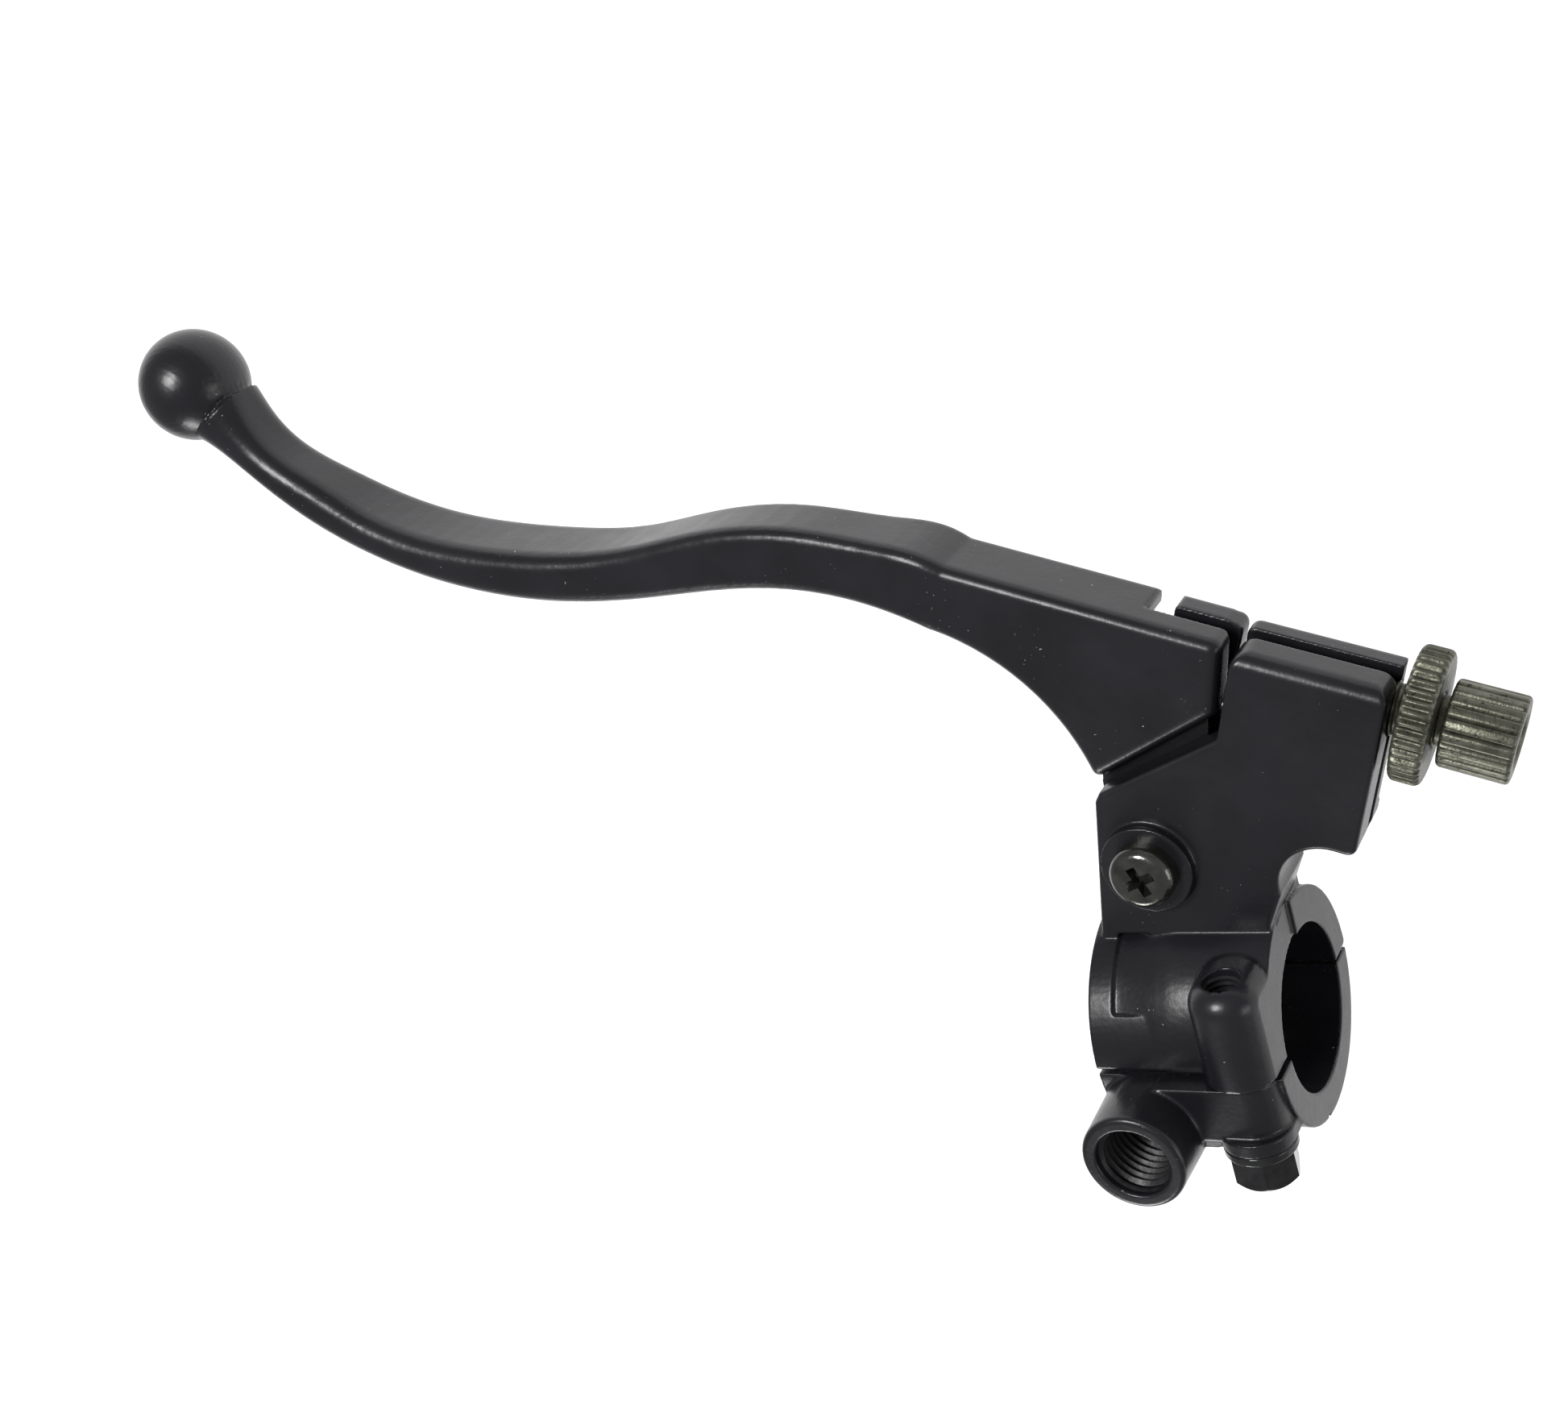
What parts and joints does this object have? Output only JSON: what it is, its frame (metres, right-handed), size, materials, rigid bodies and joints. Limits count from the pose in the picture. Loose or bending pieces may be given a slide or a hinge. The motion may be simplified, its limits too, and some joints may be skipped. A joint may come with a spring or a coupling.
{
  "type": "motorcycle clutch lever",
  "caption": "Handlebar clutch lever: two-piece bar clamp with mirror thread, forked bracket, curved ball-end lever and knurled cable adjuster.",
  "frame": {"origin": "centre of the handlebar clamp bore, at the middle of its width", "axes": "+X along the handlebar from the lever's ball end toward the cable adjuster, +Y from the bar toward the lever, +Z parallel to the lever pivot, toward the mirror boss and the screw head"},
  "size_m": [0.191, 0.1312, 0.0449],
  "materials": {
    "black_coat": "satin black coating on die-cast aluminium",
    "olive_zinc": "olive-grey zinc plated steel, half gloss",
    "black_steel": "glossy black plated steel"
  },
  "bodies": {
    "bracket": {"perch_bracket": "black_coat", "clamp_cap": "black_coat", "near_clamp_bolt": "black_steel", "far_clamp_bolt": "black_steel", "near_spring_washer": "black_steel", "far_spring_washer": "black_steel", "pivot_screw": "olive_zinc", "pivot_nut": "olive_zinc"},
    "lever": {"lever_blade": "black_coat"},
    "barrel": {"adjuster_barrel": "olive_zinc"},
    "lock_ring": {"adjuster_lock_ring": "olive_zinc"}
  },
  "joints": [
    {"name": "lever_pivot", "type": "hinge", "parent": "bracket", "child": "lever", "pos_m": [-0.00208, 0.02567, 0], "axis": [0, 0, 1], "range_deg": [0, 25]},
    {"name": "adjuster_travel", "type": "slide", "parent": "bracket", "child": "barrel", "axis": [0.9342, -0.3567, 0], "range_m": [0, 0.006]},
    {"name": "lock_ring_spin", "type": "hinge", "parent": "bracket", "child": "lock_ring", "pos_m": [0.0322, 0.04226, 0], "axis": [0.9342, -0.3567, 0], "continuous": true}
  ]
}
